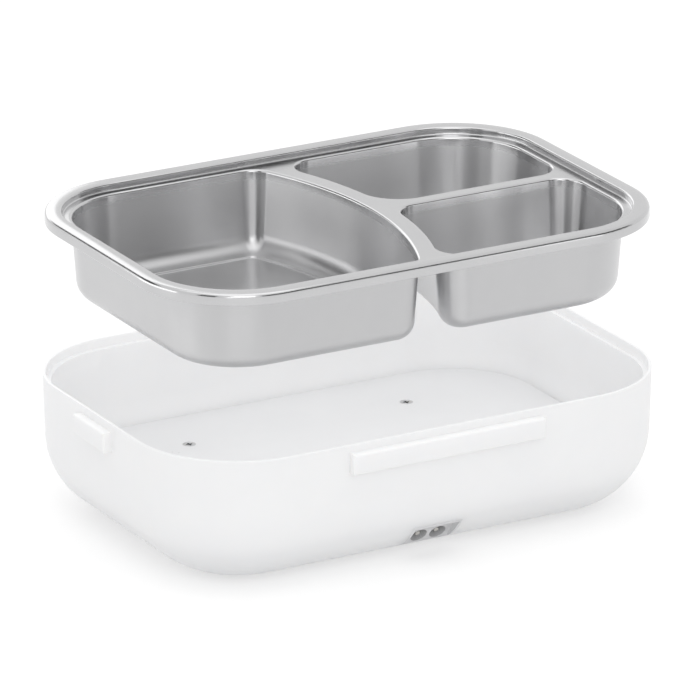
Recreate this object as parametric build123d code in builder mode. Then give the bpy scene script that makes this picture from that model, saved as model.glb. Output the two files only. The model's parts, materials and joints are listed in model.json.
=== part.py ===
"""Electric lunch box: white heated casing and a lift-out steel tray with three bowls.

Millimetres, +Z up, origin at the middle of the casing's underside, front towards -Y.
The tray is drawn lifted clear of the casing.
"""

import os
from math import cos, radians, sin, sqrt, tan

from build123d import *

# casing
casing_length = 230.0
casing_width = 160.5
casing_corner = 44.7
casing_draft = 1.5
casing_wall = 3.4
bottom_rounding = 33.0
rim_lip = 1.3
rim_rounding = 0.4
seat_depth = 4.0

# catch bars on the four sides
catch_drop = 3.4
catch_height = 8.6
catch_reach = 3.6
catch_root = 1.5
catch_front_length = 88.0
catch_side_length = 26.0
catch_rounding = 1.0

# tray
sheet = 0.6
tray_clearance = 0.35
tray_lift = 68.0
skirt_height = 4.7
flange_width = 7.0
flange_rounding = 1.6
step_depth = 3.0
step_rounding = 0.9
bowl_margin = 11.2
bowl_depth = 37.5
bowl_edge = 1.0
bowl_draft = 4.0
bowl_rounding = 7.4
bowl_corner = 10.5
bowl_wide_corner = 17.0
divider_x = 10.6
divider_radius = 150.0
divider_ridge = 8.5
cross_ridge = 6.6
panel_drop = 0.8
panel_margin = 1.2
smallest_corner = 3.0

# floor plate, its seal and its screws
plate_thickness = 2.0
plate_gap = 0.8
plate_edge_clearance = 0.5
seal_height = 1.0
seal_width = 2.4
seal_margin = 0.4
ledge_width = 3.3
ledge_height = 3.9
ledge_overlap = 0.3
screw_x = 51.0
screw_y = 41.0
screw_diameter = 3.0
screw_length = 12.0
screw_head = 5.4
screw_recess = 0.1
screw_boss = 9.0
hole_fit = 0.04
hole_room = 0.5
cross_width = 0.8
cross_length = 2.8
cross_depth = 0.9

# power inlet in the bottom rounding of the front side
inlet_z = 9.0
inlet_recess = 2.2
inlet_tilt = 35.0
inlet_width = 20.4
inlet_rise = 4.8
inlet_low = 5.3
inlet_frame = 1.0
inlet_plate = 2.2
inlet_fit = 0.05
inlet_reach = 12.0
ear_width = 33.0
ear_top = 4.4
ear_low = 6.0
ear_thickness = 1.8
ear_room = 0.5
pad_margin = 1.2
block_width = 17.8
block_height = 8.6
block_depth = 4.5
well_drop = 1.1
well_spacing = 8.6
well_diameter = 7.2
well_floor = 2.0
pin_diameter = 2.4
pin_root_diameter = 2.0
pin_setback = 0.8
pin_tail = 2.6
pin_tip = 0.5
sleeve_diameter = 3.6
sleeve_length = 4.6
sleeve_start = 0.4
inlet_screw_x = 13.6
inlet_screw_diameter = 2.5
inlet_screw_bite = 2.4
inlet_screw_head = 4.6
inlet_screw_head_height = 1.4

# heater under the plate, with its insulation and clamp
heater_length = 70.0
heater_width = 32.0
heater_height = 5.5
heater_edge = 1.2
insulation_margin = 2.0
insulation_thickness = 0.5
clamp_width = 14.0
clamp_thickness = 0.8
clamp_flat = 28.0
clamp_ramp = 44.0
clamp_span = 62.0
clamp_post = 5.6
clamp_screw_y = 26.5
clamp_screw_diameter = 2.5
clamp_screw_length = 6.0
clamp_screw_head = 5.0
clamp_screw_head_height = 1.6
clamp_boss = 7.0

# thermostat with its push-on terminals, and thermal fuse
thermostat_room = 23.0
thermostat_y = 2.0
thermostat_cap = 16.4
thermostat_cap_height = 3.2
thermostat_body = 15.0
thermostat_height = 9.4
thermostat_post = 8.0
blade_width = 6.3
blade_thickness = 0.8
blade_rise = 1.0
blade_reach = 12.0
terminal_width = 7.8
terminal_height = 2.4
terminal_start = 8.2
terminal_length = 7.0
fuse_room = 6.5
fuse_shift = 1.0
fuse_diameter = 4.2
fuse_length = 14.0
fuse_post_length = 8.0
fuse_post_width = 5.0

# leads
lead_diameter = 2.0
lead_bend = 2.5
lead_straight = 3.6
lead_plate_gap = 1.4
lead_floor_gap = 1.6
lead_clamp_gap = 1.0
lead_turn_room = 7.0
lead_row_z = 12.5
lead_near_room = 3.0
lead_far_room = 8.5
lead_end_room = 9.0
lead_return_room = 4.5
heater_lead_y = 5.0

# the contact pins and the plate: the leads leave the pins' tails just under the plate
tilt_cos = cos(radians(inlet_tilt))
tilt_sin = sin(radians(inlet_tilt))
ear_face = inlet_plate + ear_thickness
block_face = ear_face + block_depth
tail_out = -block_face - pin_tail
well_out = well_floor - block_face
lead_start_z = inlet_z - well_drop * tilt_cos - (tail_out - lead_straight) * tilt_sin
plate_z = lead_start_z + lead_diameter / 2 + lead_plate_gap
plate_top_z = plate_z + plate_thickness

# heights that follow: the tray's bowls end just over the plate, and its skirt sets the rim's height
seat_z = plate_top_z + plate_gap + bowl_depth - skirt_height
casing_height = seat_z + seat_depth
tray_top_z = seat_z + skirt_height + tray_lift
deck_z = tray_top_z - step_depth
bowl_bottom_z = tray_top_z - bowl_depth
bowl_ring_z = bowl_bottom_z + panel_drop
tray_inset = rim_lip + tray_clearance

# heights under the plate
floor_z = casing_wall
ledge_z = plate_z - seal_height
heater_z = plate_z - heater_height
heater_mid_z = plate_z - heater_height / 2
clamp_z = heater_z - insulation_thickness
clamp_foot_z = floor_z + clamp_post
thermostat_z = plate_z - thermostat_height
blade_z = thermostat_z + blade_rise
fuse_z = plate_z - fuse_diameter / 2
lead_low_z = floor_z + lead_floor_gap + lead_diameter / 2
inlet_top = inlet_z + inlet_rise

# places under the plate, set out from the heater's sides
heater_end_x = -heater_length / 2
lead_side_x = heater_end_x - lead_end_room
thermostat_x = heater_end_x - thermostat_room
lead_cross_x = clamp_width / 2 + lead_clamp_gap + lead_diameter / 2
lead_near_y = -heater_width / 2 - lead_near_room
lead_far_y = -heater_width / 2 - lead_far_room
fuse_x = heater_end_x - fuse_shift
fuse_return_x = fuse_x + fuse_length / 2 + lead_turn_room
fuse_return_y = heater_width / 2 + lead_return_room
fuse_y = fuse_return_y + fuse_room

hollow_rounding = bottom_rounding - casing_wall


def wall_inset(z, wall, rounding):
    """Distance from the rim's outline to a wall of the casing at height z."""
    drafted = (casing_height - z) * tan(radians(casing_draft))
    rounded = rounding - sqrt(rounding**2 - (bottom_rounding - z) ** 2)
    return wall + drafted + rounded


def hollow_inset(z):
    """Distance from the rim's outline to the inner wall at height z."""
    return wall_inset(z, casing_wall, hollow_rounding)


inlet_y = wall_inset(inlet_z, 0, bottom_rounding) + inlet_recess - casing_width / 2
plate_inset = hollow_inset(plate_z) + plate_edge_clearance
ledge_inset = hollow_inset(ledge_z) - ledge_overlap
seal_inset = ledge_inset + ledge_overlap + seal_margin


def casing_outline(inset, mode=Mode.ADD):
    """Draws the rim's outline, set in by a distance."""
    length = casing_length - 2 * inset
    width = casing_width - 2 * inset
    RectangleRounded(length, width, casing_corner - inset, mode=mode)


def ring(z, inset, width, height, mode=Mode.ADD):
    """Extrudes a flat ring upwards, parallel to the rim's outline."""
    with BuildSketch(Plane.XY.offset(z)) as face:
        casing_outline(inset)
        casing_outline(inset + width, Mode.SUBTRACT)
    extrude(face.sketch, amount=height, mode=mode)


def post(plane, x, y, diameter, height, mode=Mode.ADD):
    """Extrudes a round post or hole from a plane."""
    with BuildSketch(plane) as face:
        with Locations((x, y)):
            Circle(diameter / 2)
    extrude(face.sketch, amount=height, mode=mode)


def slab(plane, x, y, length, width, height, mode=Mode.ADD):
    """Extrudes a rectangular block or pocket from a plane."""
    with BuildSketch(plane) as face:
        with Locations((x, y)):
            Rectangle(length, width)
    extrude(face.sketch, amount=height, mode=mode)


def edges_at(part, z):
    """The edges of a part that lie flat at height z."""
    return part.edges().filter_by_position(Axis.Z, z - 0.01, z + 0.01)


# the tilted frame of the inlet: x along the casing, y up its face, z straight out of it
inlet_plane = Plane(origin=(0, inlet_y, inlet_z), x_dir=(1, 0, 0), z_dir=(0, -tilt_cos, -tilt_sin))
well_columns = (-well_spacing / 2, well_spacing / 2)
ear_middle = (ear_top - ear_low) / 2


def inlet_point(up, out):
    """World (y, z) of a point in the inlet's frame."""
    y = inlet_y - up * tilt_sin - out * tilt_cos
    z = inlet_z + up * tilt_cos - out * tilt_sin
    return y, z


def inlet_wedge(back, low, top, half_width, mode=Mode.ADD):
    """Extrudes the wedge between the inlet's tilted face and a level top, open to the outside."""
    up = (top - inlet_z - back * tilt_sin) / tilt_cos
    corners = [
        inlet_point(-low, -back),
        inlet_point(up, -back),
        (inlet_point(up, -back)[0] - inlet_reach, top),
        inlet_point(-low, inlet_reach),
    ]
    with BuildSketch(Plane.YZ) as face:
        with BuildLine():
            Polyline(*corners, close=True)
        make_face()
    extrude(face.sketch, amount=half_width, both=True, mode=mode)


# the casing's outside, also used to trim the inlet
with BuildPart() as envelope:
    with BuildSketch(Plane.XY.offset(casing_height)):
        casing_outline(0)
    extrude(amount=-casing_height, taper=casing_draft)
    fillet(edges_at(envelope, 0), bottom_rounding)

# the casing's inside: everything left out of it stands up from the casing's floor
with BuildPart() as hollow:
    with BuildSketch(Plane.XY.offset(casing_height)):
        casing_outline(casing_wall)
    extrude(amount=floor_z - casing_height, taper=casing_draft)
    fillet(edges_at(hollow, floor_z), hollow_rounding)
    ring(ledge_z - ledge_height, ledge_inset, ledge_width, ledge_height, Mode.SUBTRACT)
    for x in (-screw_x, screw_x):
        for y in (-screw_y, screw_y):
            post(Plane.XY.offset(floor_z), x, y, screw_boss, plate_z - floor_z, Mode.SUBTRACT)
    for y in (-clamp_screw_y, clamp_screw_y):
        post(Plane.XY.offset(floor_z), 0, y, clamp_boss, clamp_foot_z - floor_z, Mode.SUBTRACT)
    post(
        Plane.XY.offset(floor_z),
        thermostat_x,
        thermostat_y,
        thermostat_post,
        thermostat_z - floor_z,
        Mode.SUBTRACT,
    )
    slab(
        Plane.XY.offset(floor_z),
        fuse_x,
        fuse_y,
        fuse_post_length,
        fuse_post_width,
        plate_z - fuse_diameter - floor_z,
        Mode.SUBTRACT,
    )
    pad_plane = inlet_plane.offset(-inlet_plate)
    pad_height = ear_top + ear_low + 2 * pad_margin
    slab(pad_plane, 0, ear_middle, ear_width + 2 * pad_margin, pad_height, inlet_reach, Mode.SUBTRACT)
    slab(
        pad_plane,
        0,
        ear_middle,
        ear_width + 2 * ear_room,
        ear_top + ear_low + 2 * ear_room,
        -block_depth,
    )

# casing
with BuildPart() as casing:
    add(envelope.part)
    add(hollow.part, mode=Mode.SUBTRACT)
    with BuildSketch(Plane.XY.offset(casing_height)):
        casing_outline(rim_lip)
    extrude(amount=-seat_depth, mode=Mode.SUBTRACT)
    fillet(edges_at(casing, casing_height), rim_rounding)
    with BuildSketch(Plane.XY.offset(casing_height - catch_drop)):
        Rectangle(catch_front_length, casing_width + 2 * catch_reach)
        Rectangle(casing_length + 2 * catch_reach, catch_side_length)
        casing_outline(catch_root, Mode.SUBTRACT)
    extrude(amount=-catch_height)
    for axis in (Axis.X, Axis.Y):
        for side in (0, -1):
            fillet(casing.faces().sort_by(axis)[side].edges(), catch_rounding)
    inlet_wedge(
        inlet_plate + ear_room,
        inlet_low + inlet_frame + inlet_fit,
        inlet_top + inlet_frame + inlet_fit,
        inlet_width / 2 + inlet_frame + inlet_fit,
        Mode.SUBTRACT,
    )
    screw_hole = screw_diameter + 2 * hole_fit
    screw_depth = screw_length - plate_thickness + hole_room
    for x in (-screw_x, screw_x):
        for y in (-screw_y, screw_y):
            post(Plane.XY.offset(plate_z), x, y, screw_hole, -screw_depth, Mode.SUBTRACT)
    clamp_hole = clamp_screw_diameter + 2 * hole_fit
    clamp_depth = clamp_screw_length - clamp_thickness + hole_room
    for y in (-clamp_screw_y, clamp_screw_y):
        post(Plane.XY.offset(clamp_foot_z), 0, y, clamp_hole, -clamp_depth, Mode.SUBTRACT)
    ear_hole = inlet_screw_diameter + 2 * hole_fit
    for x in (-inlet_screw_x, inlet_screw_x):
        post(pad_plane, x, ear_middle, ear_hole, inlet_screw_bite + hole_room, Mode.SUBTRACT)
casing.part.label = "casing"


def tray_outline(inset):
    """Draws the tray's outer outline, set in by a distance."""
    casing_outline(tray_inset + inset)


def corner(radius, inset):
    """Corner radius of an outline that is set in by a distance."""
    return max(radius - inset, smallest_corner)


def large_bowl(plane, inset):
    """The large bowl's outline, set in by a distance: its right side is an arc."""
    with BuildSketch(plane) as face:
        tray_outline(bowl_margin + inset)
        with Locations((divider_x - divider_radius, 0)):
            Circle(divider_radius - inset, mode=Mode.INTERSECT)
        fillet(face.vertices().sort_by(Axis.X)[-2:], corner(bowl_corner, inset))
    return face.sketch


def small_bowl(plane, inset, side, middle_corner):
    """A small bowl's outline, set in by a distance: side is 1 at the back and -1 at the front."""
    with BuildSketch(plane) as face:
        tray_outline(bowl_margin + inset)
        with Locations((divider_x - divider_radius, 0)):
            Circle(divider_radius + divider_ridge + inset, mode=Mode.SUBTRACT)
        with Locations((0, side * (cross_ridge / 2 + inset))):
            side_align = Align.MIN if side > 0 else Align.MAX
            Rectangle(
                casing_length,
                casing_width,
                align=(Align.CENTER, side_align),
                mode=Mode.INTERSECT,
            )
        inner_side = 0 if side > 0 else -1
        inner_right = face.vertices().group_by(Axis.Y)[inner_side].sort_by(Axis.X)[-1]
        fillet(inner_right, corner(bowl_corner, inset))
        fillet(face.vertices().sort_by(Axis.X)[0], corner(bowl_corner, inset))
        middle = face.vertices().group_by(Axis.Y)[inner_side].sort_by(Axis.X)[0]
        fillet(middle, corner(middle_corner, inset))
    return face.sketch


def bowls(z, inset):
    """The outlines of the three bowls at height z, set in by a distance."""
    plane = Plane.XY.offset(z)
    return [
        large_bowl(plane, inset),
        small_bowl(plane, inset, 1, bowl_wide_corner),
        small_bowl(plane, inset, -1, bowl_corner),
    ]


wall_height = deck_z - bowl_ring_z
panel_inset = wall_height * tan(radians(bowl_draft)) + bowl_rounding + panel_margin

# the room inside the three bowls
with BuildPart() as bowl_room:
    for outline in bowls(deck_z, 0):
        extrude(outline, amount=sheet - wall_height, taper=bowl_draft)
    fillet(edges_at(bowl_room, bowl_ring_z + sheet), bowl_rounding - sheet)
    for outline in bowls(bowl_ring_z + sheet, panel_inset):
        extrude(outline, amount=-panel_drop)



def rim_edges(part, z):
    """The edges round the openings in a part's widest flat face at height z."""
    face = part.faces().filter_by_position(Axis.Z, z - 0.01, z + 0.01).sort_by(SortBy.AREA)[-1]
    return [edge for wire in face.inner_wires() for edge in wire.edges()]


# food tray, one pressing of thin steel
with BuildPart() as food_tray:
    with BuildSketch(Plane.XY.offset(tray_top_z)):
        tray_outline(0)
    extrude(amount=-skirt_height)
    fillet(edges_at(food_tray, tray_top_z), flange_rounding)
    with BuildSketch(Plane.XY.offset(tray_top_z - skirt_height)):
        tray_outline(sheet)
    extrude(amount=skirt_height - sheet, mode=Mode.SUBTRACT)
    fillet(edges_at(food_tray, tray_top_z - sheet), flange_rounding - sheet)
    with BuildSketch(Plane.XY.offset(deck_z - sheet)):
        tray_outline(flange_width - sheet)
    extrude(amount=step_depth)
    with BuildSketch(Plane.XY.offset(deck_z)):
        tray_outline(flange_width)
    extrude(amount=step_depth, mode=Mode.SUBTRACT)
    for outline in bowls(deck_z - sheet, -sheet):
        extrude(outline, amount=sheet - wall_height, taper=bowl_draft)
    fillet(edges_at(food_tray, bowl_ring_z), bowl_rounding)
    for outline in bowls(bowl_ring_z, panel_inset - sheet):
        extrude(outline, amount=-panel_drop)
    add(bowl_room.part, mode=Mode.SUBTRACT)
    fillet(rim_edges(food_tray, tray_top_z), step_rounding)
    fillet(rim_edges(food_tray, tray_top_z - sheet), step_rounding - sheet)
    fillet(rim_edges(food_tray, deck_z), bowl_edge)
    fillet(rim_edges(food_tray, deck_z - sheet), bowl_edge - sheet)
food_tray.part.label = "food_tray"


def countersunk_screw(x, y):
    """A floor screw with a countersunk cross head, its head just under the plate's face."""
    head_z = plate_top_z - screw_recess
    cone_height = (screw_head - screw_diameter) / 2
    with BuildPart() as screw:
        post(Plane.XY.offset(head_z), x, y, screw_diameter, -screw_length)
        with Locations((x, y, head_z)):
            Cone(
                screw_diameter / 2,
                screw_head / 2,
                cone_height,
                align=(Align.CENTER, Align.CENTER, Align.MAX),
            )
        slab(Plane.XY.offset(head_z), x, y, cross_length, cross_width, -cross_depth, Mode.SUBTRACT)
        slab(Plane.XY.offset(head_z), x, y, cross_width, cross_length, -cross_depth, Mode.SUBTRACT)
    return screw.part


def pan_screw(plane, x, y, head, head_height, diameter, length):
    """A pan-head cross screw whose head sits on the plane and whose shank runs down from it."""
    with BuildPart() as screw:
        post(plane, x, y, diameter, -length)
        post(plane, x, y, head, head_height)
        rim = screw.edges().filter_by(GeomType.CIRCLE).sort_by(SortBy.RADIUS)[-2:]
        fillet(rim.sort_by_distance(plane.origin)[-1], head_height / 2)
        top = plane.offset(head_height)
        slab(top, x, y, cross_length, cross_width, -cross_depth, Mode.SUBTRACT)
        slab(top, x, y, cross_width, cross_length, -cross_depth, Mode.SUBTRACT)
    return screw.part


def lead(points):
    """A round lead along straight runs joined by bends."""
    with BuildPart() as wire:
        with BuildLine() as path:
            FilletPolyline(*points, radius=lead_bend)
        with BuildSketch(Plane(origin=path.line @ 0, z_dir=path.line % 0)):
            Circle(lead_diameter / 2)
        sweep()
    return wire.part


def tail_point(column, out):
    """World position of a point on a contact pin's axis."""
    y, z = inlet_point(-well_drop, out)
    return column, y, z


# floor plate over the heater
with BuildPart() as floor_plate:
    with BuildSketch(Plane.XY.offset(plate_z)):
        casing_outline(plate_inset)
    extrude(amount=plate_thickness)
    with Locations(Plane.XY.offset(plate_top_z)):
        with GridLocations(2 * screw_x, 2 * screw_y, 2, 2):
            CounterSinkHole(
                screw_diameter / 2 + hole_fit,
                screw_head / 2 + screw_recess + hole_fit,
                counter_sink_angle=90,
            )
floor_plate.part.label = "floor_plate"

# seal between the casing's ledge and the plate
with BuildPart() as floor_seal:
    ring(ledge_z, seal_inset, seal_width, seal_height)
floor_seal.part.label = "floor_seal"

# grey inlet insert with two wells
pin_hole = pin_root_diameter + 2 * hole_fit
with BuildPart() as inlet_body:
    inlet_wedge(
        inlet_plate,
        inlet_low + inlet_frame,
        inlet_top + inlet_frame,
        inlet_width / 2 + inlet_frame,
    )
    add(envelope.part, mode=Mode.INTERSECT)
    inlet_wedge(0, inlet_low, inlet_top, inlet_width / 2, Mode.SUBTRACT)
    slab(pad_plane, 0, ear_middle, ear_width, ear_top + ear_low, -ear_thickness)
    slab(pad_plane, 0, -well_drop, block_width, block_height, -ear_thickness - block_depth)
    for x in well_columns:
        post(inlet_plane, x, -well_drop, well_diameter, well_out, Mode.SUBTRACT)
        post(inlet_plane, x, -well_drop, pin_hole, -block_face, Mode.SUBTRACT)
    for x in (-inlet_screw_x, inlet_screw_x):
        post(pad_plane, x, ear_middle, ear_hole, -ear_thickness, Mode.SUBTRACT)
inlet_body.part.label = "inlet_body"

# heater, its insulation and the clamp that presses both against the plate
with BuildPart() as heater:
    with BuildSketch(Plane.YZ.offset(-heater_length / 2)):
        with Locations((0, heater_mid_z)):
            RectangleRounded(heater_width, heater_height, heater_edge)
    extrude(amount=heater_length)
heater.part.label = "heater"

with BuildPart() as insulation_sheet:
    with BuildSketch(Plane.XY.offset(clamp_z)):
        Rectangle(heater_length + 2 * insulation_margin, heater_width + 2 * insulation_margin)
    extrude(amount=insulation_thickness)
insulation_sheet.part.label = "insulation_sheet"

with BuildPart() as heater_clamp:
    with BuildSketch(Plane.YZ):
        with BuildLine():
            Polyline(
                (clamp_flat / 2, clamp_z),
                (clamp_ramp / 2, clamp_foot_z + clamp_thickness),
                (clamp_span / 2, clamp_foot_z + clamp_thickness),
                (clamp_span / 2, clamp_foot_z),
                (clamp_ramp / 2, clamp_foot_z),
                (clamp_flat / 2, clamp_z - clamp_thickness),
                (-clamp_flat / 2, clamp_z - clamp_thickness),
                (-clamp_ramp / 2, clamp_foot_z),
                (-clamp_span / 2, clamp_foot_z),
                (-clamp_span / 2, clamp_foot_z + clamp_thickness),
                (-clamp_ramp / 2, clamp_foot_z + clamp_thickness),
                (-clamp_flat / 2, clamp_z),
                close=True,
            )
        make_face()
    extrude(amount=clamp_width / 2, both=True)
    for y in (-clamp_screw_y, clamp_screw_y):
        post(Plane.XY.offset(clamp_foot_z), 0, y, clamp_hole, clamp_thickness, Mode.SUBTRACT)
heater_clamp.part.label = "heater_clamp"

# thermostat against the plate, with a blade towards the front and one towards the back
with BuildPart() as thermostat:
    cap_plane = Plane.XY.offset(plate_z)
    post(cap_plane, thermostat_x, thermostat_y, thermostat_cap, -thermostat_cap_height)
    post(cap_plane, thermostat_x, thermostat_y, thermostat_body, -thermostat_height)
    blade_plane = Plane.XY.offset(blade_z - blade_thickness / 2)
    slab(blade_plane, thermostat_x, thermostat_y, blade_width, 2 * blade_reach, blade_thickness)
thermostat.part.label = "thermostat"

with BuildPart() as thermal_fuse:
    with BuildSketch(Plane.YZ.offset(fuse_x - fuse_length / 2)):
        with Locations((fuse_y, fuse_z)):
            Circle(fuse_diameter / 2)
    extrude(amount=fuse_length)
    fillet(thermal_fuse.edges().filter_by(GeomType.CIRCLE), fuse_diameter / 6)
thermal_fuse.part.label = "thermal_fuse"


def terminal(side):
    """A push-on terminal over one of the thermostat's blades."""
    middle = thermostat_y + side * (terminal_start + terminal_length / 2)
    with BuildPart() as sleeve:
        plane = Plane.XY.offset(blade_z - terminal_height / 2)
        slab(plane, thermostat_x, middle, terminal_width, terminal_length, terminal_height)
        plane = Plane.XY.offset(blade_z - blade_thickness / 2 - hole_fit)
        slab(
            plane,
            thermostat_x,
            thermostat_y,
            blade_width + 2 * hole_fit,
            2 * (blade_reach + hole_fit),
            blade_thickness + 2 * hole_fit,
            Mode.SUBTRACT,
        )
    return sleeve.part


def contact_pin(column):
    """A round contact pin that stands on its well's floor, with a thinner root and tail behind it."""
    with BuildPart() as pin:
        post(inlet_plane.offset(well_out), column, -well_drop, pin_diameter, -well_out - pin_setback)
        post(inlet_plane.offset(well_out), column, -well_drop, pin_root_diameter, tail_out - well_out)
        tip = pin.faces().sort_by(Axis(inlet_plane.origin, inlet_plane.z_dir))[-1]
        fillet(tip.edges(), pin_tip)
    return pin.part


def pin_sleeve(column):
    """A sleeve over a pin's tail and the end of its lead."""
    plane = inlet_plane.offset(-block_face - sleeve_start)
    with BuildPart() as sleeve:
        post(plane, column, -well_drop, sleeve_diameter, -sleeve_length)
        post(plane, column, -well_drop, pin_hole, -sleeve_length, Mode.SUBTRACT)
    return sleeve.part


live_column, neutral_column = well_columns
lead_front_y = tail_point(live_column, tail_out - lead_straight)[1] + lead_turn_room
terminal_reach = terminal_start + terminal_length
fuse_end = fuse_length / 2

pieces = {
    "casing": casing.part,
    "food_tray": food_tray.part,
    "floor_plate": floor_plate.part,
    "floor_seal": floor_seal.part,
    "inlet_body": inlet_body.part,
    "heater": heater.part,
    "insulation_sheet": insulation_sheet.part,
    "heater_clamp": heater_clamp.part,
    "thermostat": thermostat.part,
    "thermal_fuse": thermal_fuse.part,
    "floor_screw_front_left": countersunk_screw(-screw_x, -screw_y),
    "floor_screw_front_right": countersunk_screw(screw_x, -screw_y),
    "floor_screw_back_left": countersunk_screw(-screw_x, screw_y),
    "floor_screw_back_right": countersunk_screw(screw_x, screw_y),
    "contact_pin_live": contact_pin(live_column),
    "contact_pin_neutral": contact_pin(neutral_column),
    "pin_sleeve_live": pin_sleeve(live_column),
    "pin_sleeve_neutral": pin_sleeve(neutral_column),
    "terminal_live": terminal(-1),
    "terminal_link": terminal(1),
}
clamp_plane = Plane.XY.offset(clamp_foot_z + clamp_thickness)
for name, y in (("clamp_screw_front", -clamp_screw_y), ("clamp_screw_back", clamp_screw_y)):
    pieces[name] = pan_screw(
        clamp_plane,
        0,
        y,
        clamp_screw_head,
        clamp_screw_head_height,
        clamp_screw_diameter,
        clamp_screw_length,
    )
ear_plane = Plane(
    origin=inlet_plane.offset(-ear_face).origin,
    x_dir=(1, 0, 0),
    z_dir=-inlet_plane.z_dir,
)
for name, x in (("inlet_screw_left", -inlet_screw_x), ("inlet_screw_right", inlet_screw_x)):
    pieces[name] = pan_screw(
        ear_plane,
        x,
        -ear_middle,
        inlet_screw_head,
        inlet_screw_head_height,
        inlet_screw_diameter,
        ear_thickness + inlet_screw_bite,
    )

pieces["lead_live"] = lead(
    [
        tail_point(live_column, tail_out),
        tail_point(live_column, tail_out - lead_straight),
        (-lead_cross_x, lead_front_y, lead_row_z),
        (-lead_cross_x, lead_far_y, blade_z),
        (thermostat_x, lead_far_y, blade_z),
        (thermostat_x, thermostat_y - terminal_reach, blade_z),
    ]
)
pieces["lead_link"] = lead(
    [
        (thermostat_x, thermostat_y + terminal_reach, blade_z),
        (thermostat_x, fuse_y, blade_z),
        (fuse_x - fuse_end - lead_straight, fuse_y, fuse_z),
        (fuse_x - fuse_end, fuse_y, fuse_z),
    ]
)
pieces["lead_fuse"] = lead(
    [
        (fuse_x + fuse_end, fuse_y, fuse_z),
        (fuse_return_x, fuse_y, fuse_z),
        (fuse_return_x, fuse_return_y, fuse_z),
        (lead_side_x, fuse_return_y, heater_mid_z),
        (lead_side_x, heater_lead_y, heater_mid_z),
        (heater_end_x, heater_lead_y, heater_mid_z),
    ]
)
pieces["lead_neutral"] = lead(
    [
        tail_point(neutral_column, tail_out),
        tail_point(neutral_column, tail_out - lead_straight),
        (lead_cross_x, lead_front_y, lead_row_z),
        (lead_cross_x, lead_near_y, lead_low_z),
        (lead_side_x, lead_near_y, lead_low_z),
        (lead_side_x, -heater_lead_y, heater_mid_z),
        (heater_end_x, -heater_lead_y, heater_mid_z),
    ]
)

os.makedirs("parts", exist_ok=True)
for name, piece in pieces.items():
    piece.label = name
    export_step(piece, f"parts/{name}.step")
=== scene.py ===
"""The electric lunch box's looks: finishes for every CAD node, a finer tray, light and camera.

Everything is in metres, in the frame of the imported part, with +Z up and the front towards -Y.
"""

import json
import math

import bmesh
import bpy
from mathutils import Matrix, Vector


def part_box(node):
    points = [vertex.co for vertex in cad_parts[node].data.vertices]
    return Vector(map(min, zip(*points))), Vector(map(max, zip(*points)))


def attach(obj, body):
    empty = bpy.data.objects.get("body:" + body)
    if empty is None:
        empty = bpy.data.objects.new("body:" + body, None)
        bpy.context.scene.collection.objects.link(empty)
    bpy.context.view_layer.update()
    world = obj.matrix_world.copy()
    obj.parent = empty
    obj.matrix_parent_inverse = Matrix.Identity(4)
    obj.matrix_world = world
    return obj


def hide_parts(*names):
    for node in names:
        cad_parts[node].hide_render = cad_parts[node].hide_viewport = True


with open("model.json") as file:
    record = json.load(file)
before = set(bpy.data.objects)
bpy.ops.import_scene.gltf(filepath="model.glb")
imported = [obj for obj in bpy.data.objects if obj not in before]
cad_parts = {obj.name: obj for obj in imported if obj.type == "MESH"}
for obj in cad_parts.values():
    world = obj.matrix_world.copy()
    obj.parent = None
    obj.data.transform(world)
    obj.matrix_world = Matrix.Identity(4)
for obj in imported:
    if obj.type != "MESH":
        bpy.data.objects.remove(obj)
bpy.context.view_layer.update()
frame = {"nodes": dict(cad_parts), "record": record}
nodes = frame["nodes"]

MM = 0.001

# tray sizes that its box does not give
SHEET = 0.6 * MM
RIM_CORNER = 43.05 * MM
SKIRT = 4.7 * MM
FLANGE = 7.0 * MM
FLANGE_ROUNDING = 1.6 * MM
STEP = 3.0 * MM
STEP_ROUNDING = 0.9 * MM
STEP_FOOT = 0.5 * MM
BOWL_MARGIN = 11.2 * MM
BOWL_DRAFT = math.radians(4)
BOWL_EDGE = 1.0 * MM
BOWL_ROUNDING = 7.4 * MM
BOWL_CORNER = 10.5 * MM
WIDE_CORNER = 17 * MM
DIVIDER_X = 10.6 * MM
DIVIDER_RADIUS = 150 * MM
DIVIDER_RIDGE = 8.5 * MM
CROSS_RIDGE = 6.6 * MM
PANEL_DROP = 0.8 * MM
PANEL_MARGIN = 1.2 * MM
PANEL_ROUNDING = 0.5 * MM
PANEL_SLOPE = 0.5 * MM
SMALLEST_CORNER = 3.0 * MM
FLAT_STRIP = 0.3 * MM
SHARP_BEND = SHEET / 2.2
EDGE_ROOM = 1.3 * BOWL_EDGE + FLAT_STRIP

# how finely the tray's bends, corners and sides are divided
ARC_STEPS = 7
CORNER_STEPS = 18
SIDE_STEPS = 26


# outlines -------------------------------------------------------------------------------------


def turned(vector, angle):
    """A flat vector turned by an angle, counter-clockwise."""
    c, s = math.cos(angle), math.sin(angle)
    return Vector((vector.x * c - vector.y * s, vector.x * s + vector.y * c))


class Line:
    """A straight side of an outline. The inside is where normal . point is over level."""

    def __init__(self, normal, level):
        self.normal = Vector(normal)
        self.level = level

    def touch(self, centre, radius):
        return centre - self.normal * radius

    def between(self, start, end, share):
        return start.lerp(end, share)


class Arc:
    """A side of an outline on a circle. The inside is within the circle, or outside it."""

    def __init__(self, centre, radius, within):
        self.centre = Vector(centre)
        self.radius = radius
        self.sign = 1 if within else -1

    def touch(self, centre, radius):
        return centre + (centre - self.centre).normalized() * radius * self.sign

    def between(self, start, end, share):
        a, b = start - self.centre, end - self.centre
        return self.centre + turned(a, a.angle_signed(b) * -share)


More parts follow.
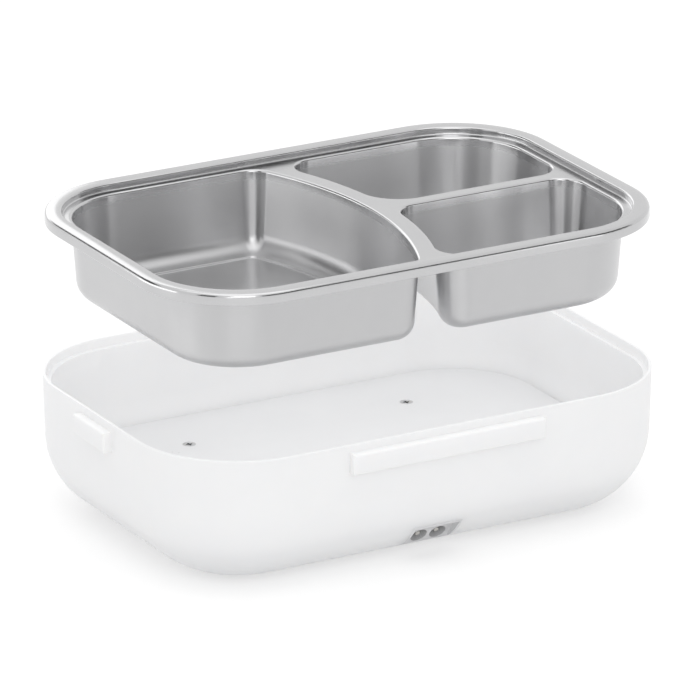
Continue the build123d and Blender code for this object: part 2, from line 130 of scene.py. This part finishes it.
def crossing(first, second, inset, near):
    """Where two sides, both set in by inset, meet nearest to a point."""
    if isinstance(first, Arc):
        first, second = second, first
    n, level = first.normal, first.level + inset
    if isinstance(second, Line):
        m, other = second.normal, second.level + inset
        det = n.x * m.y - n.y * m.x
        return Vector(((level * m.y - other * n.y) / det, (n.x * other - m.x * level) / det))
    radius = second.radius - second.sign * inset
    distance = n.dot(second.centre) - level
    foot = second.centre - n * distance
    along = Vector((-n.y, n.x)) * math.sqrt(radius**2 - distance**2)
    return min((foot + along, foot - along), key=lambda p: (p - near).length)


class Outline:
    """A closed outline of sides joined by round corners.

    The radius corners[i] is between the sides i - 1 and i, and hints[i] is a point near it.
    """

    def __init__(self, sides, corners, hints):
        self.sides = sides
        self.corners = corners
        self.hints = [Vector(h) for h in hints]

    def points(self, inset):
        """The outline's points when it is set in by a distance: as many for every distance."""
        arcs = []
        for i, corner in enumerate(self.corners):
            radius = max(corner - inset, SMALLEST_CORNER)
            centre = crossing(self.sides[i - 1], self.sides[i], inset + radius, self.hints[i])
            start = self.sides[i - 1].touch(centre, radius) - centre
            end = self.sides[i].touch(centre, radius) - centre
            turn = -start.angle_signed(end)
            steps = range(CORNER_STEPS + 1)
            arcs.append([centre + turned(start, turn * k / CORNER_STEPS) for k in steps])
        loop = []
        for i, side in enumerate(self.sides):
            loop += arcs[i]
            start, end = arcs[i][-1], arcs[(i + 1) % len(arcs)][0]
            loop += [side.between(start, end, k / SIDE_STEPS) for k in range(1, SIDE_STEPS)]
        return loop


def rounded(profile, radii):
    """A section's (inset, height) points with its inner points rounded off by arcs."""
    points = [Vector(profile[0])]
    for i in range(1, len(profile) - 1):
        here = Vector(profile[i])
        before = (Vector(profile[i - 1]) - here).normalized()
        after = (Vector(profile[i + 1]) - here).normalized()
        half = before.angle(after) / 2
        cut = radii[i - 1] / math.tan(half)
        middle = here + (before + after).normalized() * radii[i - 1] / math.sin(half)
        start, end = here + before * cut - middle, here + after * cut - middle
        turn = -start.angle_signed(end)
        points += [middle + turned(start, turn * k / ARC_STEPS) for k in range(ARC_STEPS + 1)]
    points.append(Vector(profile[-1]))
    return points


def skin(mesh, outline, section):
    """Adds the surface that a section sweeps round an outline. Returns its first and last loops."""
    rows = []
    for inset, height in section:
        rows.append([mesh.verts.new((p.x, p.y, height)) for p in outline.points(inset)])
    for lower, upper in zip(rows, rows[1:]):
        for k in range(len(lower)):
            mesh.faces.new((lower[k - 1], lower[k], upper[k], upper[k - 1]))
    return rows[0], rows[-1]


def loop_edges(mesh, loop):
    """The edges between neighbouring vertices of a closed loop."""
    pairs = [(loop[k - 1], loop[k]) for k in range(len(loop))]
    return [mesh.edges.get(pair) or mesh.edges.new(pair) for pair in pairs]


# food tray ------------------------------------------------------------------------------------

tray_low, tray_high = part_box("food_tray")
half_length = (tray_high.x - tray_low.x) / 2
half_width = (tray_high.y - tray_low.y) / 2
top_z = tray_high.z
deck_z = top_z - STEP
ring_z = tray_low.z + PANEL_DROP
bowl_end = half_length - BOWL_MARGIN
bowl_side = half_width - BOWL_MARGIN
bowl_outer_corner = RIM_CORNER - BOWL_MARGIN
divider_centre = (DIVIDER_X - DIVIDER_RADIUS, 0)


def rectangle(x, y, corner):
    """A rectangle of half sizes x and y round the origin, with one corner radius."""
    sides = [Line((0, 1), -y), Line((-1, 0), -x), Line((0, -1), -y), Line((1, 0), -x)]
    return Outline(sides, [corner] * 4, [(-x, -y), (x, -y), (x, y), (-x, y)])


rim = rectangle(half_length, half_width, RIM_CORNER)

large_bowl = Outline(
    [
        Line((0, 1), -bowl_side),
        Arc(divider_centre, DIVIDER_RADIUS, True),
        Line((0, -1), -bowl_side),
        Line((1, 0), -bowl_end),
    ],
    [bowl_outer_corner, BOWL_CORNER, BOWL_CORNER, bowl_outer_corner],
    [(-bowl_end, -bowl_side), (0, -bowl_side), (0, bowl_side), (-bowl_end, bowl_side)],
)

back_bowl = Outline(
    [
        Line((0, 1), CROSS_RIDGE / 2),
        Line((-1, 0), -bowl_end),
        Line((0, -1), -bowl_side),
        Arc(divider_centre, DIVIDER_RADIUS + DIVIDER_RIDGE, False),
    ],
    [WIDE_CORNER, BOWL_CORNER, bowl_outer_corner, BOWL_CORNER],
    [(0, 0), (bowl_end, 0), (bowl_end, bowl_side), (0, bowl_side)],
)

front_bowl = Outline(
    [
        Line((0, 1), -bowl_side),
        Line((-1, 0), -bowl_end),
        Line((0, -1), CROSS_RIDGE / 2),
        Arc(divider_centre, DIVIDER_RADIUS + DIVIDER_RIDGE, False),
    ],
    [BOWL_CORNER, bowl_outer_corner, BOWL_CORNER, BOWL_CORNER],
    [(0, -bowl_side), (bowl_end, -bowl_side), (bowl_end, 0), (0, 0)],
)


def bowl_section(grow, edge, rounding):
    """A bowl's section from the deck to its panel: grow is 0 inside and the sheet outside."""
    wall = (deck_z - ring_z) * math.tan(BOWL_DRAFT)
    panel = wall + BOWL_ROUNDING + PANEL_MARGIN
    profile = [
        (-grow - EDGE_ROOM, deck_z - grow),
        (-grow, deck_z - grow),
        (wall - grow, ring_z + SHEET - grow),
        (panel, ring_z + SHEET - grow),
        (panel + PANEL_SLOPE, ring_z + SHEET - grow - PANEL_DROP),
        (panel + PANEL_SLOPE + PANEL_MARGIN, ring_z + SHEET - grow - PANEL_DROP),
    ]
    return rounded(profile, [edge, rounding, PANEL_ROUNDING, PANEL_ROUNDING])


def build_tray():
    """The tray as one closed sheet of steel, with every bend of the pressing rounded."""
    mesh = bmesh.new()
    flat = FLANGE + 2 * STEP_FOOT + FLAT_STRIP
    around = rounded(
        [
            (flat, deck_z),
            (FLANGE, deck_z),
            (FLANGE, top_z),
            (0, top_z),
            (0, top_z - SKIRT),
            (SHEET, top_z - SKIRT),
            (SHEET, top_z - SHEET),
            (FLANGE - SHEET, top_z - SHEET),
            (FLANGE - SHEET, deck_z - SHEET),
            (flat, deck_z - SHEET),
        ],
        [
            STEP_FOOT,
            STEP_ROUNDING,
            FLANGE_ROUNDING,
            SHARP_BEND,
            SHARP_BEND,
            FLANGE_ROUNDING - SHEET,
            STEP_ROUNDING - SHEET,
            STEP_FOOT + SHEET / 2,
        ],
    )
    rim_top, rim_under = skin(mesh, rim, around)
    top_edges = loop_edges(mesh, rim_top)
    under_edges = loop_edges(mesh, rim_under)
    for bowl in (large_bowl, back_bowl, front_bowl):
        first, last = skin(mesh, bowl, bowl_section(0, BOWL_EDGE, BOWL_ROUNDING - SHEET))
        top_edges += loop_edges(mesh, first)
        mesh.faces.new(last)
        first, last = skin(mesh, bowl, bowl_section(SHEET, BOWL_EDGE - SHEET, BOWL_ROUNDING))
        under_edges += loop_edges(mesh, first)
        mesh.faces.new(last)
    for edges in (top_edges, under_edges):
        bmesh.ops.triangle_fill(mesh, use_beauty=True, use_dissolve=False, edges=edges)
    bmesh.ops.recalc_face_normals(mesh, faces=mesh.faces)
    data = bpy.data.meshes.new("steel_tray")
    mesh.to_mesh(data)
    mesh.free()
    data.shade_smooth()
    tray = bpy.data.objects.new("steel_tray", data)
    bpy.context.scene.collection.objects.link(tray)
    return tray


# materials ------------------------------------------------------------------------------------

NOISE_ROUGHNESS = 0.55
MIX_COLOUR_A, MIX_COLOUR_B, MIX_COLOUR_RESULT = 6, 7, 2
SHINY_FROM = deck_z - 1.5 * MM
SATIN_UP_TO = deck_z - 4.5 * MM
SHINY = 0.14
SATIN = 0.28
HIGHLIGHTS_ALONG = (0, 0.12, 1)


class Surface:
    """A material's node tree with short calls for the nodes that the finishes share."""

    def __init__(self, name, **sockets):
        self.material = bpy.data.materials.new(name)
        self.material.use_nodes = True
        self.tree = self.material.node_tree
        self.shader = self.tree.nodes["Principled BSDF"]
        for socket, value in sockets.items():
            self.shader.inputs[socket.replace("_", " ")].default_value = value
        self.place = self.tree.nodes.new("ShaderNodeTexCoord").outputs["Object"]

    def join(self, value, socket):
        self.tree.links.new(value, socket)

    def noise(self, size, detail=4.0, stretch=(1, 1, 1), seed=0.0):
        """Noise whose features are about size metres across, stretched along some axes.

        A seed moves it, so that two noises don't lie over each other.
        """
        mapping = self.tree.nodes.new("ShaderNodeMapping")
        mapping.inputs["Scale"].default_value = [1 / (size * s) for s in stretch]
        mapping.inputs["Location"].default_value = (seed, seed * 1.7, seed * 2.3)
        self.join(self.place, mapping.inputs["Vector"])
        texture = self.tree.nodes.new("ShaderNodeTexNoise")
        texture.inputs["Scale"].default_value = 1.0
        texture.inputs["Detail"].default_value = detail
        texture.inputs["Roughness"].default_value = NOISE_ROUGHNESS
        self.join(mapping.outputs["Vector"], texture.inputs["Vector"])
        return texture.outputs["Fac"]

    def height(self):
        """The height above the floor at rest, in metres."""
        node = self.tree.nodes.new("ShaderNodeSeparateXYZ")
        self.join(self.place, node.inputs["Vector"])
        return node.outputs["Z"]

    def spread(self, value, low, high, from_low=0.3, from_high=0.7):
        """Maps a value's middle range onto low to high."""
        node = self.tree.nodes.new("ShaderNodeMapRange")
        node.inputs["From Min"].default_value = from_low
        node.inputs["From Max"].default_value = from_high
        node.inputs["To Min"].default_value = low
        node.inputs["To Max"].default_value = high
        self.join(value, node.inputs["Value"])
        return node.outputs["Result"]

    def blend(self, share, first, second):
        """Mixes two colours, each a tuple or a socket."""
        node = self.tree.nodes.new("ShaderNodeMix")
        node.data_type = "RGBA"
        self.join(share, node.inputs["Factor"])
        for index, colour in ((MIX_COLOUR_A, first), (MIX_COLOUR_B, second)):
            socket = node.inputs[index]
            if isinstance(colour, tuple):
                socket.default_value = (*colour, 1)
            else:
                self.join(colour, socket)
        return node.outputs[MIX_COLOUR_RESULT]

    def sum(self, first, second):
        """The sum of two values."""
        node = self.tree.nodes.new("ShaderNodeMath")
        self.join(first, node.inputs[0])
        self.join(second, node.inputs[1])
        return node.outputs[0]

    def edges(self, low, high):
        """0 on flats and 1 on convex edges."""
        geometry = self.tree.nodes.new("ShaderNodeNewGeometry")
        return self.spread(geometry.outputs["Pointiness"], 0.0, 1.0, low, high)

    def bump(self, height, depth, under=None):
        """A bump of a real depth in metres, over another bump."""
        node = self.tree.nodes.new("ShaderNodeBump")
        node.inputs["Strength"].default_value = 1.0
        node.inputs["Distance"].default_value = depth
        self.join(height, node.inputs["Height"])
        if under is not None:
            self.join(under, node.inputs["Normal"])
        return node.outputs["Normal"]

    def stretch_highlights(self, direction):
        """Sets the direction that an anisotropic finish draws its highlights out in."""
        node = self.tree.nodes.new("ShaderNodeCombineXYZ")
        for socket, value in zip(node.inputs, direction):
            socket.default_value = value
        self.join(node.outputs["Vector"], self.shader.inputs["Tangent"])

    def colour(self, value):
        self.join(value, self.shader.inputs["Base Color"])

    def roughness(self, value):
        self.join(value, self.shader.inputs["Roughness"])

    def normal(self, value):
        self.join(value, self.shader.inputs["Normal"])


def pressed_steel():
    """Stainless sheet with grain, draw lines, slight waves and faint scratches.

    Its rim is shiny and its bowls are satin. The walls' highlights are drawn out up and down.
    """
    s = Surface("pressed_steel", Metallic=1.0, Anisotropic=0.86)
    waves = s.noise(34 * MM, detail=1.0)
    grain = s.noise(0.35 * MM, detail=2.0)
    draw_lines = s.noise(0.9 * MM, detail=3.0, stretch=(1, 1, 40), seed=3.0)
    smear = s.noise(22 * MM, detail=2.0, seed=5.0)
    scratches = s.noise(0.22 * MM, detail=2.0, stretch=(1, 70, 1), seed=8.0)
    s.colour(s.blend(s.spread(smear, 0.0, 1.0), (0.54, 0.54, 0.547), (0.565, 0.565, 0.57)))
    scratched = s.spread(scratches, 0.0, 0.015, from_low=0.58, from_high=0.8)
    fine = s.sum(s.spread(draw_lines, 0.0, 0.03), scratched)
    satin = s.spread(s.height(), SATIN, SHINY, SATIN_UP_TO, SHINY_FROM)
    s.roughness(s.sum(satin, s.sum(s.spread(smear, 0.0, 0.04), fine)))
    bumps = s.bump(waves, 0.1 * MM)
    bumps = s.bump(draw_lines, 0.0003 * MM, bumps)
    s.normal(s.bump(grain, 0.0003 * MM, bumps))
    s.stretch_highlights(HIGHLIGHTS_ALONG)
    return s.material


def moulded_white():
    """White moulded plastic with a faint fine texture, slight clouding, and convex edges painted
    whiter: partly rubbed wear, partly a painted highlight.
    """
    s = Surface(
        "moulded_white",
        Specular_IOR_Level=0.4,
        Subsurface_Weight=0.5,
        Subsurface_Scale=8 * MM,
    )
    s.shader.inputs["Subsurface Radius"].default_value = (1.0, 0.95, 0.9)
    cloud = s.noise(26 * MM, detail=3.0)
    grain = s.noise(0.45 * MM, detail=3.0, seed=2.0)
    # convex edges painted whiter: partly rubbed wear, partly a painted highlight along every edge
    rubbed_and_highlit_edges = s.edges(0.51, 0.60)
    base = s.blend(s.spread(cloud, 0.0, 1.0), (0.855, 0.857, 0.866), (0.875, 0.876, 0.882))
    s.colour(s.blend(rubbed_and_highlit_edges, base, (0.90, 0.90, 0.90)))
    fine = s.spread(grain, -0.04, 0.04)
    s.roughness(s.sum(s.spread(cloud, 0.36, 0.44), fine))
    bumps = s.bump(cloud, 0.05 * MM)
    s.normal(s.bump(grain, 0.006 * MM, bumps))
    return s.material


def coated_plate():
    """White baked coating on sheet metal: orange peel and a few duller patches."""
    s = Surface("coated_plate", Specular_IOR_Level=0.5)
    peel = s.noise(1.6 * MM, detail=2.0)
    patches = s.noise(35 * MM, detail=4.0, seed=4.0)
    s.colour(s.blend(s.spread(patches, 0.0, 1.0), (0.765, 0.767, 0.776), (0.795, 0.797, 0.804)))
    s.roughness(s.sum(s.spread(patches, 0.30, 0.42), s.spread(peel, -0.03, 0.03)))
    s.normal(s.bump(peel, 0.012 * MM))
    return s.material


def grey(level):
    """A grey as a colour."""
    return (level, level, level)


def fine_finish(name, dark, light, roughness, stretch=(1, 1, 1), **sockets):
    """A finish with patches of two near colours, uneven roughness, worn edges and a fine bump."""
    s = Surface(name, **sockets)
    patches = s.noise(6 * MM, detail=4.0, seed=1.0)
    fine = s.noise(0.5 * MM, detail=3.0, stretch=stretch, seed=6.0)
    base = s.blend(s.spread(patches, 0.0, 1.0), dark, light)
    worn = tuple(min(c * 1.25 + 0.03, 0.95) for c in light)
    s.colour(s.blend(s.edges(0.52, 0.64), base, worn))
    s.roughness(s.sum(s.spread(patches, *roughness), s.spread(fine, -0.04, 0.04)))
    s.normal(s.bump(fine, 0.006 * MM))
    return s.material


def metal(name, dark, light, roughness, stretch=(1, 1, 1)):
    """The same finish on bare metal."""
    return fine_finish(name, dark, light, roughness, stretch, Metallic=1.0)


# each slot's finish: its darker and lighter colour, and the range of its roughness
steel = pressed_steel()
finishes = {
    "casing_white": moulded_white(),
    "tray_steel": steel,
    "plate_white": coated_plate(),
    "seal_silicone": fine_finish("silicone", (0.66, 0.66, 0.64), (0.72, 0.72, 0.70), (0.55, 0.7)),
    "screw_steel": metal("screw_steel", grey(0.42), grey(0.55), (0.25, 0.4)),
    "inlet_grey": fine_finish(
        "inlet_grey", (0.56, 0.562, 0.572), (0.62, 0.622, 0.63), (0.42, 0.56)
    ),
    "pin_nickel": metal("pin_nickel", (0.48, 0.47, 0.44), (0.56, 0.55, 0.52), (0.28, 0.4)),
    "sleeve_black": fine_finish("sleeve_black", grey(0.02), grey(0.035), (0.5, 0.65)),
    "heater_aluminium": metal(
        "heater_aluminium", (0.58, 0.58, 0.59), (0.68, 0.68, 0.69), (0.32, 0.45), (20, 1, 1)
    ),
    "insulation_amber": fine_finish(
        "insulation_amber", (0.42, 0.20, 0.035), (0.52, 0.26, 0.05), (0.2, 0.35)
    ),
    "clamp_steel": metal("clamp_steel", grey(0.50), (0.60, 0.60, 0.59), (0.3, 0.45)),
    "thermostat_black": fine_finish(
        "phenolic_black", (0.022, 0.02, 0.018), (0.04, 0.036, 0.032), (0.45, 0.6)
    ),
    "terminal_nylon": fine_finish(
        "terminal_nylon", (0.66, 0.66, 0.60), (0.74, 0.74, 0.68), (0.35, 0.5)
    ),
    "fuse_metal": metal("fuse_metal", (0.50, 0.49, 0.46), (0.62, 0.61, 0.58), (0.3, 0.45)),
    "lead_red": fine_finish("lead_red", (0.40, 0.02, 0.015), (0.50, 0.035, 0.025), (0.45, 0.6)),
    "lead_black": fine_finish("lead_black", grey(0.02), grey(0.035), (0.45, 0.6)),
    "lead_white": fine_finish("lead_white", (0.70, 0.70, 0.68), (0.78, 0.78, 0.76), (0.45, 0.6)),
}

slot_of = {part["node"]: part["material_slot"] for part in frame["record"]["subparts"]}
for name, node in nodes.items():
    node.data.materials.clear()
    node.data.materials.append(finishes[slot_of[name]])

tray = build_tray()
tray.data.materials.append(steel)
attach(tray, "lift_out_tray")
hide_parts("food_tray")


# stage, light and camera ----------------------------------------------------------------------

FLOOR_SIZE = 8.0
FLOOR_SQUARES = 8
FLOOR_DROP = 0.2 * MM
FLOOR_SHADE = 0.6
VIEW_AZIMUTH = math.radians(-29.37)
VIEW_ELEVATION = math.radians(19.75)
VIEW_DISTANCE = 3.2
VIEW_LENS = 406.5
VIEW_TARGET = Vector((0.0012, 0, 0.0653))
VIEW_REACH = 50
AMBIENT = 0.885
FLOOR_GLOW = 0.27
FLOOR_SHOWN = 0.17
CARD_DISTANCE = 1.5
CARD_TOP = 1.45
CARD_SHADE = 0.05
CASING_MIDDLE = (0, 0, 0.06)
TRAY_MIDDLE = (0, 0, 0.12)

bpy.context.scene.view_settings.view_transform = "Standard"


def seen_rays(tree, other, seen):
    """One strength for the rays that show a thing, and another for those that carry its light.

    The camera's rays show it, and so do reflections and clear pieces.
    """
    light_path = tree.nodes.new("ShaderNodeLightPath")
    value = light_path.outputs["Is Camera Ray"]
    for ray in ("Is Glossy Ray", "Is Transmission Ray"):
        node = tree.nodes.new("ShaderNodeMath")
        node.operation = "MAXIMUM"
        tree.links.new(value, node.inputs[0])
        tree.links.new(light_path.outputs[ray], node.inputs[1])
        value = node.outputs[0]
    strength = tree.nodes.new("ShaderNodeMapRange")
    strength.inputs["To Min"].default_value = other
    strength.inputs["To Max"].default_value = seen
    tree.links.new(value, strength.inputs["Value"])
    return strength.outputs["Result"]


def build_floor():
    """A plain pale floor just under the object, with its shadow and the glow of a light table."""
    mesh = bmesh.new()
    bmesh.ops.create_grid(
        mesh, x_segments=FLOOR_SQUARES, y_segments=FLOOR_SQUARES, size=FLOOR_SIZE / 2
    )
    data = bpy.data.meshes.new("floor")
    mesh.to_mesh(data)
    mesh.free()
    floor = bpy.data.objects.new("floor", data)
    bpy.context.scene.collection.objects.link(floor)
    material = bpy.data.materials.new("floor_white")
    material.use_nodes = True
    tree = material.node_tree
    shader = tree.nodes["Principled BSDF"]
    shader.inputs["Base Color"].default_value = (*grey(FLOOR_SHADE), 1)
    shader.inputs["Roughness"].default_value = 0.9
    shader.inputs["Specular IOR Level"].default_value = 0.0
    glow = tree.nodes.new("ShaderNodeEmission")
    tree.links.new(seen_rays(tree, FLOOR_GLOW, FLOOR_GLOW + FLOOR_SHOWN), glow.inputs["Strength"])
    both = tree.nodes.new("ShaderNodeAddShader")
    tree.links.new(shader.outputs[0], both.inputs[0])
    tree.links.new(glow.outputs[0], both.inputs[1])
    tree.links.new(both.outputs[0], tree.nodes["Material Output"].inputs["Surface"])
    data.materials.append(material)
    floor.location.z = -FLOOR_DROP


def build_world():
    """A white surrounding where it is seen, and a softer one for the light it gives."""
    world = bpy.data.worlds.new("studio")
    bpy.context.scene.world = world
    world.use_nodes = True
    tree = world.node_tree
    background = tree.nodes["Background"]
    background.inputs["Color"].default_value = (1, 1, 1, 1)
    tree.links.new(seen_rays(tree, AMBIENT, 1.0), background.inputs["Strength"])


def softbox(name, place, aim, size, power):
    """A rectangular area lamp at a place, aimed at a point. Its size is its width and height."""
    lamp = bpy.data.lights.new(name, "AREA")
    lamp.shape = "RECTANGLE"
    lamp.size, lamp.size_y = size
    lamp.energy = power
    holder = bpy.data.objects.new(name, lamp)
    bpy.context.scene.collection.objects.link(holder)
    holder.location = place
    holder.rotation_mode = "QUATERNION"
    holder.rotation_quaternion = (Vector(aim) - Vector(place)).to_track_quat("-Z", "Y")
    return holder


def shine_past(lamp, piece):
    """Lets a lamp's light pass a piece, as if it were lit apart from what stands under it."""
    passed = bpy.data.collections.new(lamp.name + "_passes")
    passed.objects.link(piece)
    passed.collection_objects[0].light_linking.link_state = "EXCLUDE"
    lamp.light_linking.blocker_collection = passed


def shine_only_on(lamp, piece):
    """Keeps a lamp's light for one piece."""
    lit = bpy.data.collections.new(lamp.name + "_lights")
    lit.objects.link(piece)
    lamp.light_linking.receiver_collection = lit


def build_dark_card(name, azimuth, width, low):
    """A dark card that stands upright off the object and that only reflections show."""
    out = Vector((math.sin(azimuth), -math.cos(azimuth), 0))
    along = Vector((out.y, -out.x, 0))
    up = Vector((0, 0, 1))
    mesh = bmesh.new()
    corners = ((-width / 2, low), (width / 2, low), (width / 2, CARD_TOP), (-width / 2, CARD_TOP))
    mesh.faces.new([mesh.verts.new(out * CARD_DISTANCE + along * x + up * z) for x, z in corners])
    data = bpy.data.meshes.new(name)
    mesh.to_mesh(data)
    mesh.free()
    card = bpy.data.objects.new(name, data)
    bpy.context.scene.collection.objects.link(card)
    card.visible_camera = card.visible_diffuse = False
    card.visible_transmission = card.visible_shadow = False
    material = bpy.data.materials.new(name)
    material.use_nodes = True
    shader = material.node_tree.nodes["Principled BSDF"]
    shader.inputs["Base Color"].default_value = (*grey(CARD_SHADE), 1)
    shader.inputs["Specular IOR Level"].default_value = 0.0
    data.materials.append(material)


def build_camera():
    """The camera at the photograph's angle."""
    back = Vector(
        (
            math.sin(VIEW_AZIMUTH) * math.cos(VIEW_ELEVATION),
            -math.cos(VIEW_AZIMUTH) * math.cos(VIEW_ELEVATION),
            math.sin(VIEW_ELEVATION),
        )
    )
    data = bpy.data.cameras.new("camera")
    data.lens = VIEW_LENS
    data.clip_end = VIEW_REACH
    camera = bpy.data.objects.new("camera", data)
    bpy.context.scene.collection.objects.link(camera)
    camera.location = VIEW_TARGET + back * VIEW_DISTANCE
    camera.rotation_mode = "QUATERNION"
    camera.rotation_quaternion = (-back).to_track_quat("-Z", "Y")
    bpy.context.scene.camera = camera


def build_lamps():
    """Soft lamps from the front, the top and the back, and three more for the tray alone.

    The tray and the casing are lit apart. So all lamps but the one at the back shine past the
    tray, and the tray doesn't hold the surrounding's light off the casing either.
    """
    key = softbox("key", (-0.45, -1.1, 0.85), CASING_MIDDLE, (0.5, 0.6), power=1.8)
    top = softbox("top", (0, 0, 1.5), (0, 0, 0), (1.3, 1.3), power=3.4)
    softbox("back", (0.1, 1.3, 0.7), (0, 0, 0.04), (0.9, 0.9), power=2)
    tray_lamps = (
        softbox("tray_left", (-1.16, 0.58, 0.24), TRAY_MIDDLE, (1.25, 0.45), power=2.6),
        softbox("tray_strip", (0.68, -1.07, 0.14), TRAY_MIDDLE, (0.2, 0.26), power=0.16),
        softbox("tray_corner", (-0.72, -0.96, 0.36), TRAY_MIDDLE, (0.14, 0.3), power=0.22),
    )
    for lamp in (key, top, *tray_lamps):
        shine_past(lamp, tray)
    for lamp in tray_lamps:
        shine_only_on(lamp, tray)
    tray.visible_diffuse = False


build_floor()
build_world()
build_lamps()
build_dark_card("dark_card_right", azimuth=math.radians(38), width=2.6, low=0.5)
build_dark_card("dark_card_left", azimuth=math.radians(-60), width=0.5, low=0.4)
build_dark_card("dark_card_back", azimuth=math.radians(-150), width=1.4, low=0.7)
build_camera()
